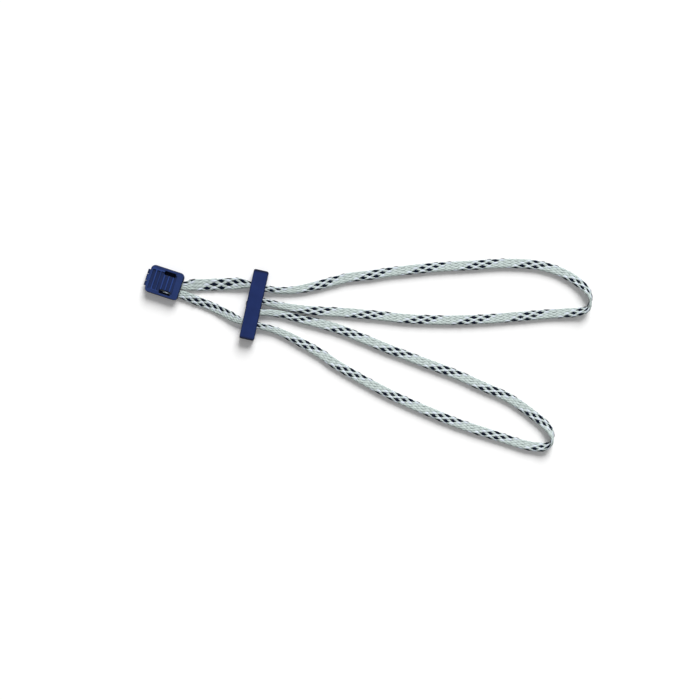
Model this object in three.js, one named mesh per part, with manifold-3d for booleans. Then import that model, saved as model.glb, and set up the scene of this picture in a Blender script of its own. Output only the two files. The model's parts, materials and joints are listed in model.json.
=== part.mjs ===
// Double-loop cord restraint. One flat braided cord starts in a hinged end clip, runs through a
// lock bar, turns back in a long loop, doubles round a bight inside the bar, makes a second loop
// and returns through the bar to the clip. Pulling the clip closes both loops, and two toothed
// steel tongues in the bar hold the cord against slipping back.
//
// Millimetres. Origin at the middle of the lock bar's underside, +X through the bar towards the
// loops, +Y along the bar, +Z up. The whole thing lies flat on z = 0.

import * as THREE from "three";
import { mergeVertices } from "three/addons/utils/BufferGeometryUtils.js";
import Module from "manifold-3d";

const wasm = await Module();
wasm.setup();

// ---------------------------------------------------------------- driving dimensions

// The cord: a flat braid, bunched where it is squeezed through the bar, thinned in the clip. Off
// each of these it takes a while to spread to its full width. Its stretches are STRETCH_GAP apart.
const CORD_WIDTH = 8.2;
const CORD_THICKNESS = 2.4;
const UPPER_TAIL_WIDTH = 10;
const LOWER_TAIL_WIDTH = 7.6;
const BUNCHED_WIDTH = 5.8;
const BUNCHED_HEIGHT = 3.6;
const CLAMPED_WIDTH = 7;
const CLAMPED_THICKNESS = 1.7;
const LOOP_SPREAD = 60;
const TAIL_SPREAD = 14;
const CORD_OFF_FLOOR = 0.1;
const STRETCH_GAP = 0.6;
const LOOP_STEPS = 34;
const TAIL_STEPS = 6;
const BIGHT_STEPS = 12;

// Clearances, each named after what it keeps apart.
const CORD_CLEARANCE = 0.35;
const SEAM_GAP = 0.3;
const PIN_CLEARANCE = 0.3;
const PEG_CLEARANCE = 0.3;
const TONGUE_CLEARANCE = 0.3;

// Lock bar.
const BAR_LENGTH = 60.8;
const BAR_WIDTH = 12.8;
const BAR_FLOOR = 2.2;
const BAR_COVER = 2.6;
const BAR_CORNER_RADIUS = 1.6;
const BAR_CHAMFER = 0.7;
const OUTER_PASSAGE_Y = 16;
const INNER_PASSAGE_Y = 4.6;
const PASSAGE_CORNER_RADIUS = 1.2;
const MOUTH_FLARE = 0.8;
const MOUTH_DEPTH = 1.2;
const BIGHT_CENTRE_X = 0.3;
const PEG_RADIUS = 1.1;
const PEG_DEPTH = 2.2;
const PEG_NEAR_Y = 10.3;
const PEG_FAR_Y = 25.2;

// Locking tongues: a tab trapped between the bar's halves and a blade that trails over the cord.
const TONGUE_THICKNESS = 0.5;
const TONGUE_TAB_X = 3.6;
const TONGUE_TAB_LENGTH = 2;
const TONGUE_TAB_WIDTH = 8.6;
const BLADE_LENGTH = 5.4;
const BLADE_WIDTH = 5;
const BLADE_TEETH = 3;
const TOOTH_DEPTH = 1;
const TONGUE_ROOF = 0.9;

// End clip: a base and a lid of one outline, on a pinned hinge at the end away from the cord.
const CLIP_LENGTH = 29.4;
const CLIP_WIDTH = 24.4;
const CLIP_CORNER_RADIUS = 3.9;
const CLIP_CHAMFER = 0.7;
const CLIP_FLOOR = 1.5;
const CLIP_LID = 3.3;
const CLIP_CENTRE_X = -78.95;
const CLIP_CENTRE_Y = 2.2;
const CLIP_TURN = THREE.MathUtils.degToRad(-5.6);
const CHANNEL_WALL = 2.5;
const CHANNEL_END_WALL = 4.5;
const ENDS_GAP = 0.3;
const ENDS_OFFSET_Y = -1.45;
const GRIP_TOOTH_HEIGHT = 0.4;
const GRIP_TEETH = 4;
const RIB_PITCH = 3.9;
const RIB_COUNT = 6;
const RIB_WIDTH = 1.7;
const RIB_FIRST_X = -13.3;
const PANEL_HALF_WIDTH = 8.3;
const PANEL_DEPTH = 0.7;
const PANEL_END_X = 8.8;
const WINDOW_LENGTH = 10.1;
const WINDOW_WIDTH = 3.5;
const WINDOW_X = 2.65;
const WINDOW_Y = 8.15;
const LATCH_PEG_RADIUS = 0.7;
const LATCH_PEG_HEIGHT = 1.4;
const LATCH_PEG_X = 10;
const HINGE_RADIUS = 1.6;
const HINGE_OVERHANG = 0.5;
const HINGE_PIN_RADIUS = 0.55;
const HINGE_WIDTH = 14.5;
const LID_KNUCKLE_WIDTH = 5.8;

// ---------------------------------------------------------------- sizes that follow

const passageWidth = BUNCHED_WIDTH + 4 * CORD_CLEARANCE;
const passageHeight = BUNCHED_HEIGHT + 2 * CORD_CLEARANCE;
const cordAxisZ = BAR_FLOOR + passageHeight / 2;
const barSeamZ = BAR_FLOOR + passageHeight;
const coverBottomZ = barSeamZ + SEAM_GAP;
const barHeight = coverBottomZ + BAR_COVER;
const barFaceX = BAR_WIDTH / 2;
const cordStartX = barFaceX + STRETCH_GAP;

const tabBottomZ = barSeamZ + TONGUE_CLEARANCE;
const bladeTipZ = cordAxisZ + BUNCHED_HEIGHT / 2 + TONGUE_CLEARANCE;

const clampedZ = CLIP_FLOOR + GRIP_TOOTH_HEIGHT + SEAM_GAP + CLAMPED_THICKNESS / 2;
const clipSeamZ = clampedZ + CLAMPED_THICKNESS / 2 + GRIP_TOOTH_HEIGHT;
const lidBottomZ = clipSeamZ + SEAM_GAP;
const clipHeight = lidBottomZ + CLIP_LID;
const hingeX = -CLIP_LENGTH / 2 - HINGE_OVERHANG;
const hingeZ = clipSeamZ + SEAM_GAP / 2;
const channelHalf = CLIP_WIDTH / 2 - CHANNEL_WALL;
const endSpacing = CLAMPED_WIDTH + ENDS_GAP;
const endCentres = {
  upper: ENDS_OFFSET_Y + endSpacing / 2,
  lower: ENDS_OFFSET_Y - endSpacing / 2,
};

// ---------------------------------------------------------------- materials

const navyPlastic = new THREE.MeshStandardMaterial({ color: 0x2a3766, roughness: 0.45, metalness: 0 });
const springSteel = new THREE.MeshStandardMaterial({ color: 0xb4b7ba, roughness: 0.35, metalness: 1 });
const braidedCord = new THREE.MeshStandardMaterial({ color: 0xd3dbd6, roughness: 0.9, metalness: 0 });

// ---------------------------------------------------------------- shapes and solids

// A rectangle with round corners, centred on (cx, cy).
function roundedRectangle(width, height, radius, cx = 0, cy = 0) {
  const [x, y] = [width / 2, height / 2];
  const shape = new THREE.Shape();
  shape.absarc(cx + x - radius, cy + y - radius, radius, 0, Math.PI / 2);
  shape.absarc(cx - x + radius, cy + y - radius, radius, Math.PI / 2, Math.PI);
  shape.absarc(cx - x + radius, cy - y + radius, radius, Math.PI, 1.5 * Math.PI);
  shape.absarc(cx + x - radius, cy - y + radius, radius, 1.5 * Math.PI, 2 * Math.PI);
  return shape;
}

function polygon(points) {
  return new THREE.Shape(points.map(([x, y]) => new THREE.Vector2(x, y)));
}

// A rectangle from (x0, y0) to (x1, y1) whose upper or lower corners are cut off by a chamfer.
function chamferedRectangle(x0, y0, x1, y1, low, high) {
  return polygon([
    [x0 + low, y0], [x1 - low, y0], [x1, y0 + low], [x1, y1 - high],
    [x1 - high, y1], [x0 + high, y1], [x0, y1 - high], [x0, y0 + low],
  ].filter((point, i, all) => {
    const next = all[(i + 1) % all.length];
    return point[0] !== next[0] || point[1] !== next[1];
  }));
}

// The plane in which an outline is drawn, by the axis along which it is extruded.
const drawnIn = {
  x: [new THREE.Vector3(0, 1, 0), new THREE.Vector3(0, 0, 1), new THREE.Vector3(1, 0, 0)],
  y: [new THREE.Vector3(0, 0, 1), new THREE.Vector3(1, 0, 0), new THREE.Vector3(0, 1, 0)],
  z: [new THREE.Vector3(1, 0, 0), new THREE.Vector3(0, 1, 0), new THREE.Vector3(0, 0, 1)],
};

// The solid of an outline extruded along one axis. Outlines are drawn in (y, z), (z, x) or (x, y).
function prism(outline, axis, from, to, curveSegments = 6) {
  const geometry = new THREE.ExtrudeGeometry(outline, {
    depth: to - from, bevelEnabled: false, curveSegments,
  });
  geometry.translate(0, 0, from);
  geometry.applyMatrix4(new THREE.Matrix4().makeBasis(...drawnIn[axis]));
  return solid(geometry);
}

function block(x0, x1, y0, y1, z0, z1) {
  const geometry = new THREE.BoxGeometry(x1 - x0, y1 - y0, z1 - z0);
  geometry.translate((x0 + x1) / 2, (y0 + y1) / 2, (z0 + z1) / 2);
  return solid(geometry);
}

function disc(radius, cx, cy) {
  return new THREE.Shape().absarc(cx, cy, radius, 0, 2 * Math.PI);
}

function solid(geometry) {
  const plain = geometry.clone();
  plain.deleteAttribute("normal");
  plain.deleteAttribute("uv");
  const merged = mergeVertices(plain, 1e-4);
  return new wasm.Manifold(new wasm.Mesh({
    numProp: 3,
    vertProperties: merged.attributes.position.array,
    triVerts: new Uint32Array(merged.index.array),
  }));
}

function united(solids) {
  return solids.reduce((sum, next) => sum.add(next));
}

function without(body, cuts) {
  return cuts.reduce((rest, cut) => rest.subtract(cut), body);
}

function part(name, body, material) {
  const { vertProperties, triVerts } = body.getMesh();
  const geometry = new THREE.BufferGeometry();
  geometry.setAttribute("position", new THREE.BufferAttribute(vertProperties, 3));
  geometry.setIndex(new THREE.BufferAttribute(triVerts, 1));
  geometry.computeVertexNormals();
  const mesh = new THREE.Mesh(geometry, material);
  mesh.name = name;
  return mesh;
}

// ---------------------------------------------------------------- lock bar

const outerPassages = { upper: OUTER_PASSAGE_Y, lower: -OUTER_PASSAGE_Y };
const barPegs = [-PEG_FAR_Y, -PEG_NEAR_Y, PEG_NEAR_Y, PEG_FAR_Y];

// The bar's outside, before it is split at the seam.
function barBlank() {
  const plan = roundedRectangle(BAR_WIDTH, BAR_LENGTH, BAR_CORNER_RADIUS);
  const end = chamferedRectangle(0, -barFaceX, barHeight, barFaceX, BAR_CHAMFER, BAR_CHAMFER);
  const side = chamferedRectangle(
    -BAR_LENGTH / 2, 0, BAR_LENGTH / 2, barHeight, BAR_CHAMFER, BAR_CHAMFER);
  return prism(plan, "z", 0, barHeight)
    .intersect(prism(end, "y", -BAR_LENGTH, BAR_LENGTH))
    .intersect(prism(side, "x", -BAR_WIDTH, BAR_WIDTH));
}

// A round-bottomed groove right through the bar, open upwards, with a flared mouth at each face.
function passage(y) {
  const groove = roundedRectangle(
    passageWidth, 2 * passageHeight, PASSAGE_CORNER_RADIUS, y, BAR_FLOOR + passageHeight);
  return prism(groove, "x", -BAR_WIDTH, BAR_WIDTH).add(mouth(y, 1)).add(mouth(y, -1));
}

function mouth(y, side) {
  const narrow = passageWidth / 2;
  const wide = narrow + MOUTH_FLARE;
  const flare = polygon([
    [side * (barFaceX - MOUTH_DEPTH), y - side * narrow],
    [side * (barFaceX + MOUTH_DEPTH), y - side * (wide + MOUTH_FLARE)],
    [side * (barFaceX + MOUTH_DEPTH), y + side * (wide + MOUTH_FLARE)],
    [side * (barFaceX - MOUTH_DEPTH), y + side * narrow],
  ]);
  return prism(flare, "z", BAR_FLOOR + PASSAGE_CORNER_RADIUS, barSeamZ + BAR_FLOOR);
}

// The two inner passages join in a hairpin round the nose of the wall between them, where the
// cord doubles back and bulges a little out of the bar's rear face.
function hairpin() {
  const outer = new THREE.Shape();
  const reach = INNER_PASSAGE_Y + passageWidth / 2;
  outer.absarc(BIGHT_CENTRE_X, 0, reach, Math.PI / 2, 1.5 * Math.PI);
  outer.lineTo(BAR_WIDTH, -reach);
  outer.lineTo(BAR_WIDTH, reach);
  const nose = new THREE.Shape();
  const inside = INNER_PASSAGE_Y - passageWidth / 2;
  nose.absarc(BIGHT_CENTRE_X, 0, inside, Math.PI / 2, 1.5 * Math.PI);
  nose.lineTo(2 * BAR_WIDTH, -inside);
  nose.lineTo(2 * BAR_WIDTH, inside);
  const top = barSeamZ + BAR_FLOOR;
  return prism(outer, "z", BAR_FLOOR, top, 12).subtract(prism(nose, "z", 0, 2 * top, 8));
}

function barBase() {
  const lower = block(-BAR_WIDTH, BAR_WIDTH, -BAR_LENGTH, BAR_LENGTH, -1, barSeamZ);
  const sockets = barPegs.map((y) => prism(
    disc(PEG_RADIUS + PEG_CLEARANCE, 0, y), "z",
    barSeamZ - PEG_DEPTH - PEG_CLEARANCE, barHeight, 5));
  return without(barBlank().intersect(lower), [
    passage(outerPassages.upper), passage(outerPassages.lower),
    mouth(INNER_PASSAGE_Y, 1), mouth(-INNER_PASSAGE_Y, 1),
    hairpin(), ...sockets,
  ]);
}

// Room above the cord for a tongue's blade to lift, and a shallower slot that traps its tab.
function tonguePocket(y) {
  const bladeHalf = BLADE_WIDTH / 2 + TONGUE_CLEARANCE;
  const tabHalf = TONGUE_TAB_WIDTH / 2 + TONGUE_CLEARANCE;
  const tabEnd = TONGUE_TAB_X + TONGUE_TAB_LENGTH / 2;
  const bladeRoot = TONGUE_TAB_X - TONGUE_TAB_LENGTH / 2;
  const bladeTip = bladeRoot - BLADE_LENGTH;
  const under = coverBottomZ - SEAM_GAP;
  const blade = block(
    bladeTip - TONGUE_CLEARANCE, bladeRoot + TONGUE_CLEARANCE,
    y - bladeHalf, y + bladeHalf, under, barHeight - TONGUE_ROOF);
  const tab = block(
    bladeRoot - TONGUE_CLEARANCE, tabEnd + TONGUE_CLEARANCE,
    y - tabHalf, y + tabHalf, under, tabBottomZ + TONGUE_THICKNESS + TONGUE_CLEARANCE);
  return blade.add(tab);
}

function barCover() {
  const upper = block(-BAR_WIDTH, BAR_WIDTH, -BAR_LENGTH, BAR_LENGTH, coverBottomZ, 2 * barHeight);
  const pegs = barPegs.map((y) => prism(
    disc(PEG_RADIUS, 0, y), "z", barSeamZ - PEG_DEPTH, coverBottomZ + SEAM_GAP, 5));
  const plate = without(barBlank().intersect(upper), Object.values(outerPassages).map(tonguePocket));
  return united([plate, ...pegs]);
}

// ---------------------------------------------------------------- locking tongues

// A bent strip of spring steel. Its tab lies in the bar, its blade slopes down along -X, the way
// the cord is drawn, and ends in sharp teeth just over the cord.
function tongue(y) {
  const tabEnd = TONGUE_TAB_X + TONGUE_TAB_LENGTH / 2;
  const root = TONGUE_TAB_X - TONGUE_TAB_LENGTH / 2;
  const tip = root - BLADE_LENGTH;
  const tab = block(
    root, tabEnd, y - TONGUE_TAB_WIDTH / 2, y + TONGUE_TAB_WIDTH / 2,
    tabBottomZ, tabBottomZ + TONGUE_THICKNESS);
  const strip = polygon([
    [tabBottomZ, tabEnd], [tabBottomZ, root], [bladeTipZ, tip],
    [bladeTipZ + TONGUE_THICKNESS, tip], [tabBottomZ + TONGUE_THICKNESS, root],
    [tabBottomZ + TONGUE_THICKNESS, tabEnd],
  ].reverse());
  const blade = prism(strip, "y", y - BLADE_WIDTH / 2, y + BLADE_WIDTH / 2);
  const toothWidth = BLADE_WIDTH / BLADE_TEETH;
  const notches = Array.from({ length: BLADE_TEETH - 1 }, (_, i) => {
    const middle = y - BLADE_WIDTH / 2 + (i + 1) * toothWidth;
    return prism(polygon([
      [tip - TOOTH_DEPTH, middle - toothWidth],
      [tip + TOOTH_DEPTH, middle],
      [tip - TOOTH_DEPTH, middle + toothWidth],
    ]), "z", 0, barHeight);
  });
  return without(tab.add(blade), notches);
}

// ---------------------------------------------------------------- end clip, in its own frame

// The outline that base and lid share, extruded, with chamfered edges below or above.
function clipBlank(z0, z1, low, high) {
  const [x, y] = [CLIP_LENGTH / 2, CLIP_WIDTH / 2];
  return prism(roundedRectangle(CLIP_LENGTH, CLIP_WIDTH, CLIP_CORNER_RADIUS), "z", z0, z1, 8)
    .intersect(prism(chamferedRectangle(z0, -x, z1, x, low, high), "y", -CLIP_WIDTH, CLIP_WIDTH))
    .intersect(prism(chamferedRectangle(-y, z0, y, z1, low, high), "x", -CLIP_LENGTH, CLIP_LENGTH));
}

// A cylinder on the hinge's axis.
function onHinge(radius, y0, y1) {
  return prism(disc(radius, hingeZ, hingeX), "y", y0, y1, 16);
}

// One knuckle with the web that ties it to its leaf, above or below the seam.
function knuckle(y0, y1, webZ0, webZ1) {
  const web = block(hingeX, -CLIP_LENGTH / 2 + HINGE_OVERHANG, y0, y1, webZ0, webZ1);
  return onHinge(HINGE_RADIUS, y0, y1).add(web);
}

// Sharp ridges across the channel, pointing up from the base or down from the lid.
function gripRidges(z, height) {
  return Array.from({ length: GRIP_TEETH }, (_, i) => {
    const x = (i - (GRIP_TEETH - 1) / 2) * RIB_PITCH;
    const ridge = [[z, x - Math.abs(height)], [z + height, x], [z, x + Math.abs(height)]];
    const root = [[z - height, x + Math.abs(height)], [z - height, x - Math.abs(height)]];
    const outline = [...ridge, ...root];
    return prism(polygon(height > 0 ? outline.reverse() : outline), "y", -channelHalf, channelHalf);
  });
}

const knuckleGap = SEAM_GAP;
const lidKnuckleHalf = LID_KNUCKLE_WIDTH / 2;
const hingeHalf = HINGE_WIDTH / 2;

function clipBase() {
  const [x, y] = [CLIP_LENGTH / 2, CLIP_WIDTH / 2];
  const channel = block(
    -x + CHANNEL_END_WALL, CLIP_LENGTH, -channelHalf, channelHalf, CLIP_FLOOR, clipHeight);
  const pegs = [1, -1].map((side) => prism(
    disc(LATCH_PEG_RADIUS, LATCH_PEG_X, side * (y - CHANNEL_WALL / 2)), "z",
    CLIP_FLOOR, clipSeamZ + LATCH_PEG_HEIGHT, 4));
  const knuckles = [1, -1].map((side) => {
    const ends = [side * (lidKnuckleHalf + knuckleGap), side * hingeHalf].sort((a, b) => a - b);
    return knuckle(...ends, hingeZ - HINGE_RADIUS, clipSeamZ);
  });
  const body = without(clipBlank(0, clipSeamZ, CLIP_CHAMFER, 0), [
    channel, onHinge(HINGE_RADIUS + PIN_CLEARANCE, -lidKnuckleHalf - knuckleGap,
      lidKnuckleHalf + knuckleGap),
  ]);
  const ridges = gripRidges(CLIP_FLOOR, GRIP_TOOTH_HEIGHT);
  return without(united([body, ...ridges, ...pegs, ...knuckles]), [
    onHinge(HINGE_PIN_RADIUS + PIN_CLEARANCE, -CLIP_WIDTH, CLIP_WIDTH),
  ]);
}

// The lid: a plate with a sunk panel of raised cross ribs, two long windows beside it that show
// the cord, ridges beneath, and sockets for the base's latch pegs.
function clipLid() {
  const y = CLIP_WIDTH / 2;
  const panelTop = clipHeight - PANEL_DEPTH;
  const panel = block(
    -CLIP_LENGTH, PANEL_END_X, -PANEL_HALF_WIDTH, PANEL_HALF_WIDTH, panelTop, 2 * clipHeight);
  const ribs = Array.from({ length: RIB_COUNT }, (_, i) => {
    const x = RIB_FIRST_X + i * RIB_PITCH;
    const half = RIB_WIDTH / 2;
    const outline = polygon([
      [panelTop - PANEL_DEPTH, x - half], [panelTop, x - half], [clipHeight, x - half / 2],
      [clipHeight, x + half / 2], [panelTop, x + half], [panelTop - PANEL_DEPTH, x + half],
    ].reverse());
    return prism(outline, "y", -PANEL_HALF_WIDTH, PANEL_HALF_WIDTH);
  });
  const windows = [1, -1].map((side) => prism(
    roundedRectangle(WINDOW_LENGTH, WINDOW_WIDTH, WINDOW_WIDTH / 4, WINDOW_X, side * WINDOW_Y),
    "z", 0, 2 * clipHeight, 3));
  const sockets = [1, -1].map((side) => prism(
    disc(LATCH_PEG_RADIUS + PEG_CLEARANCE, LATCH_PEG_X, side * (y - CHANNEL_WALL / 2)), "z",
    0, clipSeamZ + LATCH_PEG_HEIGHT + PEG_CLEARANCE, 4));
  const overBaseKnuckles = [1, -1].map((side) => {
    const ends = [side * lidKnuckleHalf, side * (hingeHalf + knuckleGap)].sort((a, b) => a - b);
    return onHinge(HINGE_RADIUS + PIN_CLEARANCE, ...ends);
  });
  const plate = without(clipBlank(lidBottomZ, clipHeight, 0, CLIP_CHAMFER), [panel]);
  const ridges = gripRidges(lidBottomZ, -GRIP_TOOTH_HEIGHT);
  const body = without(united([plate, ...ribs, ...ridges]), [
    ...windows, ...sockets, ...overBaseKnuckles,
  ]);
  const middle = knuckle(-lidKnuckleHalf, lidKnuckleHalf, lidBottomZ, hingeZ + HINGE_RADIUS);
  return without(body.add(middle), [
    onHinge(HINGE_PIN_RADIUS + PIN_CLEARANCE, -CLIP_WIDTH, CLIP_WIDTH),
  ]);
}

function clipHingePin() {
  return onHinge(HINGE_PIN_RADIUS, -hingeHalf, hingeHalf);
}

// ---------------------------------------------------------------- cord

const flat = { width: CORD_WIDTH, thickness: CORD_THICKNESS };
const bunched = { width: BUNCHED_WIDTH, thickness: BUNCHED_HEIGHT };
const clamped = { width: CLAMPED_WIDTH, thickness: CLAMPED_THICKNESS };

// A route for the flat cord, chosen by hand: x, y, height of the band's middle, and how far the
// band is rolled about its own run, in degrees. It lies flat where the roll is nothing. The band
// has one section at each end and spreads to its middle one within the length given.
class BandPath extends THREE.CatmullRomCurve3 {
  constructor(stops, { start, middle, end, spread }) {
    super(stops.map(([x, y, z]) => new THREE.Vector3(x, y, z)), false, "centripetal");
    this.rolls = stops.map(([, , , roll = 0]) => THREE.MathUtils.degToRad(roll));
    this.sections = { start, middle, end, spread };
  }

  rollAt(t) {
    const place = t * (this.rolls.length - 1);
    const before = Math.min(Math.floor(place), this.rolls.length - 2);
    return THREE.MathUtils.lerp(this.rolls[before], this.rolls[before + 1], place - before);
  }

  // Half of one size of the section, from how far along the band it is and how far there is to go.
  halfSize(size, before, after) {
    const { start, middle, end, spread } = this.sections;
    const pinch = (away) => 1 - THREE.MathUtils.smoothstep(away, 0, spread);
    const atStart = (start[size] - middle[size]) * pinch(before);
    const atEnd = (end[size] - middle[size]) * pinch(after);
    return (middle[size] + atStart + atEnd) / 2;
  }

  // Rings are spaced as the stops are, so they close up where the band bends.
  getSpacedPoints(divisions) {
    return this.getPoints(divisions);
  }

  // The section is drawn one unit wide and high each way, so each ring's axes carry its sizes.
  computeFrenetFrames(segments) {
    const frames = { tangents: [], normals: [], binormals: [] };
    const along = this.getLengths(segments);
    for (let i = 0; i <= segments; i++) {
      const t = i / segments;
      const [before, after] = [along[i], along[segments] - along[i]];
      const tangent = this.getTangent(t);
      const across = new THREE.Vector3(tangent.y, -tangent.x, 0).normalize();
      across.applyAxisAngle(tangent, this.rollAt(t));
      const up = new THREE.Vector3().crossVectors(tangent, across);
      frames.tangents.push(tangent);
      frames.normals.push(across.multiplyScalar(this.halfSize("width", before, after)));
      frames.binormals.push(up.multiplyScalar(this.halfSize("thickness", before, after)));
    }
    return frames;
  }
}

// An octagon two units wide and high, the cord's section before it is sized.
const octagon = [
  [1, -0.5], [1, 0.5], [0.65, 1], [-0.65, 1], [-1, 0.5], [-1, -0.5], [-0.65, -1], [0.65, -1],
];

function band(stops, steps, sections) {
  const geometry = new THREE.ExtrudeGeometry(polygon(octagon), {
    extrudePath: new BandPath(stops, sections), steps, bevelEnabled: false,
  });
  return solid(geometry);
}

const onFloor = CORD_THICKNESS / 2 + CORD_OFF_FLOOR;

const upperLoop = [
  [cordStartX, 15.8, cordAxisZ], [18, 16.6, 2.4], [30, 19.7, 1.8], [42, 24.5, 1.55],
  [53, 29.9, 1.4], [64, 35.4, onFloor], [75, 40.8, onFloor], [92, 46.6, onFloor],
  [109, 53.1, onFloor], [126, 58.9, onFloor], [143, 64.5, onFloor], [160, 69.3, onFloor],
  [178, 74.3, onFloor], [196, 79.5, onFloor], [213, 83.4, onFloor], [232, 85.7, onFloor],
  [249.5, 84.5, onFloor], [259, 82.2, 1.6, -5], [267, 79.2, 2.3, -16], [274, 75.4, 3.4, -36],
  [278.8, 71, 4.2, -60], [281.1, 66.2, 4.5, -80], [281.4, 61.8, 4.5, -96], [279.8, 57.8, 4.3, -118],
  [275.4, 54.8, 3.6, -140], [268, 52.2, 2.6, -162], [259.5, 49.8, 1.7, -175],
  [250, 47.1, onFloor, -180], [233.5, 42, onFloor, -180], [216, 36.7, onFloor, -180],
  [199, 31.5, onFloor, -180], [181, 26.8, onFloor, -180], [163.5, 22.6, onFloor, -180],
  [146, 19.2, onFloor, -180], [128, 16.3, onFloor, -180], [110, 14.4, onFloor, -180],
  [92, 12.3, onFloor, -180], [74, 9.9, onFloor, -180], [56, 6.8, 1.4, -180], [40, 5, 1.6, -180],
  [24, 4.3, 1.9, -180], [14, 4.4, 3.2, -180], [cordStartX, 4.5, cordAxisZ, -180],
];

const lowerLoop = [
  [cordStartX, -4.9, cordAxisZ], [15, -3.7, 3.2], [27, -2.6, 1.85], [42, -3.3, 1.55],
  [57, -3.5, 1.4], [69, -4, onFloor], [81, -5.3, onFloor], [93, -7.4, onFloor],
  [105, -9.3, onFloor], [117, -11.5, onFloor], [135, -14.2, onFloor], [153, -16.8, onFloor],
  [171, -19.3, onFloor], [189, -22.3, onFloor], [207, -26.1, onFloor], [225, -29.6, onFloor],
  [237, -33.2, onFloor], [248, -37.8, onFloor], [257.5, -42.2, 1.6, -5], [264.8, -46, 2.4, -18],
  [270.2, -50, 3.4, -38], [273.6, -54.4, 4.3, -64], [274.8, -58.6, 4.5, -86],
  [273.8, -62.2, 4.4, -110], [270, -65.2, 3.7, -138], [263, -66.9, 2.5, -162],
  [254, -67.4, 1.6, -176], [244, -66.9, onFloor, -180], [226, -65, onFloor, -180],
  [208, -63.4, onFloor, -180], [190, -61.3, onFloor, -180], [172, -58.2, onFloor, -180],
  [154, -54.9, onFloor, -180], [136, -51.1, onFloor, -180], [118, -46.5, onFloor, -180],
  [101, -41.6, onFloor, -180], [89, -37.8, onFloor, -180], [77.5, -33.9, onFloor, -180],
  [66.5, -29.2, onFloor, -180], [55, -25.4, 1.4, -180], [43.5, -22.1, 1.55, -180],
  [31, -18.8, 1.75, -180], [19, -17.1, 2.4, -180], [cordStartX, -16.6, cordAxisZ, -180],
];

const upperTail = [
  [-63.5, 2.9, clampedZ], [-61.5, 3.2, 3], [-59, 4.2, 2.8], [-56, 5.2, 2.6], [-50.2, 6.7, 2.2],
  [-46.5, 7.4, 1.9], [-42.6, 8.4, 1.9], [-38.5, 9.6, 1.9], [-34.3, 10.6, 1.9], [-30.1, 11.5, 2.1],
  [-26, 12.7, 2.4], [-21.8, 13.8, 2.8], [-17.7, 14.9, 3.2], [-13.5, 15.7, 3.8],
  [-cordStartX, OUTER_PASSAGE_Y, cordAxisZ],
];

const lowerTail = [
  [-64.2, -4.4, clampedZ], [-62.5, -4.6, 3], [-60, -4.9, 2.8], [-55.2, -5.8, 2.4],
  [-50.5, -6.6, 2.1], [-46.7, -7.3, 1.9], [-42, -8, 1.9], [-38.2, -8.7, 1.9], [-34, -9.5, 1.9],
  [-29.8, -10.5, 2.1], [-25.5, -11.5, 2.4], [-21.4, -12.5, 2.8], [-17, -13.8, 3.2],
  [-13.1, -14.9, 3.8], [-9.8, -15.8, 4.2], [-cordStartX, -OUTER_PASSAGE_Y, cordAxisZ],
];

function loop(stops) {
  const sections = { start: bunched, middle: flat, end: bunched, spread: LOOP_SPREAD };
  return band(stops, LOOP_STEPS, sections);
}

function tail(stops, width) {
  const middle = { ...flat, width };
  return band(stops, TAIL_STEPS, { start: clamped, middle, end: bunched, spread: TAIL_SPREAD });
}

// The bunched cord inside the bar.
function held(stops, steps) {
  return band(stops, steps, { start: bunched, middle: bunched, end: bunched, spread: 1 });
}

// Straight through an outer passage.
function core(y) {
  return held([[-barFaceX, y, cordAxisZ], [barFaceX, y, cordAxisZ]], 1);
}

// Round the hairpin between the two inner passages.
function bight() {
  const turns = Array.from({ length: BIGHT_STEPS / 2 + 1 }, (_, i) => {
    const angle = (0.5 + (2 * i) / BIGHT_STEPS) * Math.PI;
    const [x, y] = [INNER_PASSAGE_Y * Math.cos(angle), INNER_PASSAGE_Y * Math.sin(angle)];
    return [BIGHT_CENTRE_X + x, y, cordAxisZ];
  });
  const [first, last] = [1, -1].map((side) => [barFaceX, side * INNER_PASSAGE_Y, cordAxisZ]);
  return held([first, ...turns, last], BIGHT_STEPS);
}

// A cord end pressed flat between the clip's ridges, in the clip's own frame.
function clampedEnd(y) {
  const start = -CLIP_LENGTH / 2 + CHANNEL_END_WALL + SEAM_GAP;
  const section = octagon.map(([across, up]) => [
    y + (across * CLAMPED_WIDTH) / 2, clampedZ + (up * CLAMPED_THICKNESS) / 2,
  ]);
  return prism(polygon(section), "x", start, CLIP_LENGTH / 2 - STRETCH_GAP);
}

// ---------------------------------------------------------------- the assembly

const restraint = new THREE.Group();

restraint.add(
  part("lock_bar_base", barBase(), navyPlastic),
  part("lock_bar_cover", barCover(), navyPlastic),
);
for (const [side, y] of Object.entries(outerPassages)) {
  restraint.add(
    part(`locking_tongue_${side}`, tongue(y), springSteel),
    part(`cord_core_${side}`, core(y), braidedCord),
  );
}
restraint.add(
  part("cord_bight", bight(), braidedCord),
  part("cord_loop_upper", loop(upperLoop), braidedCord),
  part("cord_loop_lower", loop(lowerLoop), braidedCord),
  part("cord_tail_upper", tail(upperTail, UPPER_TAIL_WIDTH), braidedCord),
  part("cord_tail_lower", tail(lowerTail, LOWER_TAIL_WIDTH), braidedCord),
);

const clip = new THREE.Group();
clip.position.set(CLIP_CENTRE_X, CLIP_CENTRE_Y, 0);
clip.rotation.z = CLIP_TURN;
clip.add(
  part("clip_base", clipBase(), navyPlastic),
  part("clip_lid", clipLid(), navyPlastic),
  part("clip_hinge_pin", clipHingePin(), springSteel),
  part("cord_end_upper", clampedEnd(endCentres.upper), braidedCord),
  part("cord_end_lower", clampedEnd(endCentres.lower), braidedCord),
);
restraint.add(clip);

export default restraint;
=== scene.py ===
"""Double-loop cord restraint: flat braided cord, a lock bar and an end clip. Metres, +Z up."""
import json
import math

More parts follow.
